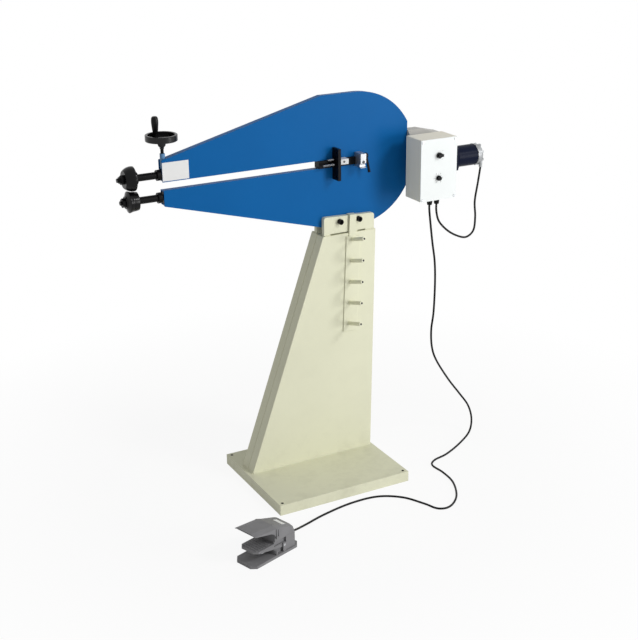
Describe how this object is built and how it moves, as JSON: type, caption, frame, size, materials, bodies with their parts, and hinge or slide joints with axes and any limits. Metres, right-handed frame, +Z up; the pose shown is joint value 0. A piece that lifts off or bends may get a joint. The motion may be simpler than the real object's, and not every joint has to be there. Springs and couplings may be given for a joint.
{
  "type": "electric bead roller",
  "caption": "Floor-standing electric sheet-metal bead roller: deep-throat frame on a slanted pedestal, paired dies, screw-down handwheel, sliding fence, geared motor and foot pedal.",
  "frame": {"origin": "centre of the base tray on the floor", "axes": "+Z up, +X from the dies towards the motor, -Y towards the operator's side"},
  "size_m": [1.302, 0.6707, 1.284],
  "materials": {
    "cream_paint": "satin cream paint",
    "blue_paint": "gloss blue paint",
    "boss_paint": "gloss light blue paint",
    "black_steel": "blackened steel",
    "die_steel": "oiled black steel",
    "bright_steel": "machined steel",
    "wheel_black": "black enamel",
    "black_plastic": "moulded black plastic",
    "fence_black": "black paint",
    "block_alloy": "machined aluminium",
    "spacer_white": "pale plastic",
    "case_paint": "grey painted casting",
    "motor_paint": "dark blue-black paint",
    "bell_alloy": "bare die casting",
    "box_paint": "grey-beige paint",
    "panel_white": "white paint",
    "plate_white": "bare white plate",
    "pedal_cast": "grey painted casting",
    "cord_rubber": "black cord jacket"
  },
  "bodies": {
    "machine": {"base_tray": "cream_paint", "column_near": "cream_paint", "column_far": "cream_paint", "column_cap": "cream_paint", "clamp_near": "cream_paint", "clamp_far": "cream_paint", "clamp_screws": "black_steel", "clamp_spacers": "bright_steel", "die_rack": "cream_paint", "rack_pegs": "cream_paint", "frame_near": "blue_paint", "frame_far": "blue_paint", "rim_upper": "blue_paint", "rim_lower": "blue_paint", "throat_liner": "blue_paint", "arm_plate": "plate_white", "lower_bearing": "black_steel", "rear_bearing": "bright_steel", "screw_boss": "boss_paint", "gear_case": "case_paint", "gear_head": "case_paint", "motor_flange": "motor_paint", "motor_body": "motor_paint", "motor_bell": "bell_alloy", "box_bracket": "box_paint", "control_box": "box_paint", "front_panel": "panel_white", "panel_screws": "bright_steel", "box_glands": "black_plastic", "pedal_base": "pedal_cast", "pedal_hood": "pedal_cast", "pedal_pin": "bright_steel", "pedal_spring": "bright_steel", "motor_cord": "cord_rubber", "pedal_cord": "cord_rubber"},
    "lower_drive": {"lower_shaft": "black_steel", "lower_die": "die_steel", "lower_nut": "black_steel", "lower_collar": "black_steel", "drive_gear": "bright_steel", "coupling": "bright_steel"},
    "upper_pivot": {"rear_ring": "bright_steel"},
    "upper_drive": {"upper_shaft": "black_steel", "upper_die": "die_steel", "upper_nut": "black_steel", "upper_collar": "black_steel", "driven_gear": "bright_steel"},
    "upper_slide": {"slide_block": "black_steel"},
    "screw": {"pressure_screw": "black_steel", "handwheel": "wheel_black"},
    "spinner_grip": {"spinner": "black_plastic"},
    "fence": {"fence_bar": "fence_black", "fence_plate": "fence_black", "fence_spacer": "spacer_white", "clamp_block": "block_alloy", "fence_keeper": "bright_steel"},
    "fence_lever": {"clamp_lever": "black_steel"},
    "direction_selector": {"selector": "black_plastic"},
    "speed_dial": {"speed_knob": "black_plastic"},
    "treadle": {"pedal_treadle": "pedal_cast"}
  },
  "joints": [
    {"name": "lower_spin", "type": "hinge", "parent": "machine", "child": "lower_drive", "pos_m": [0, 0.066, 1.0275], "axis": [1, 0, 0], "continuous": true},
    {"name": "upper_tilt", "type": "hinge", "parent": "machine", "child": "upper_pivot", "pos_m": [0.354, 0.066, 1.0975], "axis": [0, 1, 0], "range_deg": [-0.15, 0.25]},
    {"name": "upper_spin", "type": "hinge", "parent": "upper_pivot", "child": "upper_drive", "pos_m": [0.354, 0.066, 1.0975], "axis": [1, 0, 0], "continuous": true},
    {"name": "block_slide", "type": "slide", "parent": "machine", "child": "upper_slide", "axis": [0, 0, 1], "range_m": [-0.0015, 0.003]},
    {"name": "screw_turn", "type": "hinge", "parent": "upper_slide", "child": "screw", "pos_m": [-0.471, 0.066, 1.16], "axis": [0, 0, 1], "range_deg": [-280, 550]},
    {"name": "spinner_spin", "type": "hinge", "parent": "screw", "child": "spinner_grip", "pos_m": [-0.477, 0.0975, 1.24], "axis": [0, 0, 1], "continuous": true},
    {"name": "fence_slide", "type": "slide", "parent": "machine", "child": "fence", "axis": [1, 0, 0], "range_m": [-0.4, 0.008]},
    {"name": "lever_turn", "type": "hinge", "parent": "fence", "child": "fence_lever", "pos_m": [0.206, 0.025, 1.081], "axis": [-1, 0, 0], "range_deg": [0, 100]},
    {"name": "selector_turn", "type": "hinge", "parent": "machine", "child": "direction_selector", "pos_m": [0.42, -0.083, 1.078], "axis": [0, -1, 0], "range_deg": [-45, 45]},
    {"name": "speed_turn", "type": "hinge", "parent": "machine", "child": "speed_dial", "pos_m": [0.42, -0.083, 1.003], "axis": [0, -1, 0], "range_deg": [-150, 120]},
    {"name": "treadle_press", "type": "hinge", "parent": "machine", "child": "treadle", "pos_m": [-0.34592, -0.37948, 0.03], "axis": [0.3173, -0.9483, 0], "range_deg": [0, 7], "stiffness_Nm_per_rad": 6, "springref_deg": -6.88, "deforming": ["pedal_spring"]}
  ],
  "couplings": [
    {"joint": "upper_spin", "follows": "lower_spin", "ratio": -1},
    {"joint": "screw_turn", "follows": "block_slide", "rad_per_m": 3141.6},
    {"joint": "upper_tilt", "follows": "block_slide", "rad_per_m": 1.2121}
  ]
}
